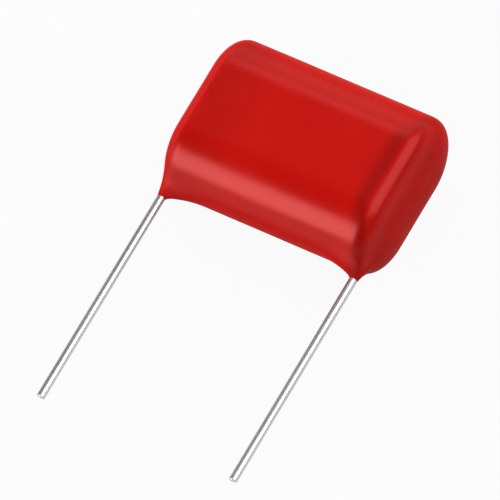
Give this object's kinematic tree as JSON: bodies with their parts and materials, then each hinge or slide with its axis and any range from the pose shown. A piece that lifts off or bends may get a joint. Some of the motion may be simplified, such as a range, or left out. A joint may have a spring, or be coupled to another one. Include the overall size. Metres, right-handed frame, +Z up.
{
  "type": "polyester film capacitor",
  "caption": "Dipped film capacitor: a soft-edged glossy red block whose coating runs down onto straight tinned wire leads.",
  "frame": {"origin": "middle of the flat face that the body lies on", "axes": "+X from the left lead to the right lead, +Y away from the leads' free ends, +Z up through the body's thickness"},
  "size_m": [0.0226, 0.0388, 0.0094],
  "materials": {
    "red_epoxy": "glossy cured powder epoxy",
    "wound_film": "wound metallised polyester film",
    "sprayed_metal": "matte sprayed zinc",
    "tinned_wire": "bright tinned copper-clad steel"
  },
  "bodies": {
    "root": {"epoxy_coating": "red_epoxy", "film_winding": "wound_film", "end_spray_left": "sprayed_metal", "end_spray_right": "sprayed_metal", "lead_left": "tinned_wire", "lead_right": "tinned_wire"}
  },
  "joints": []
}
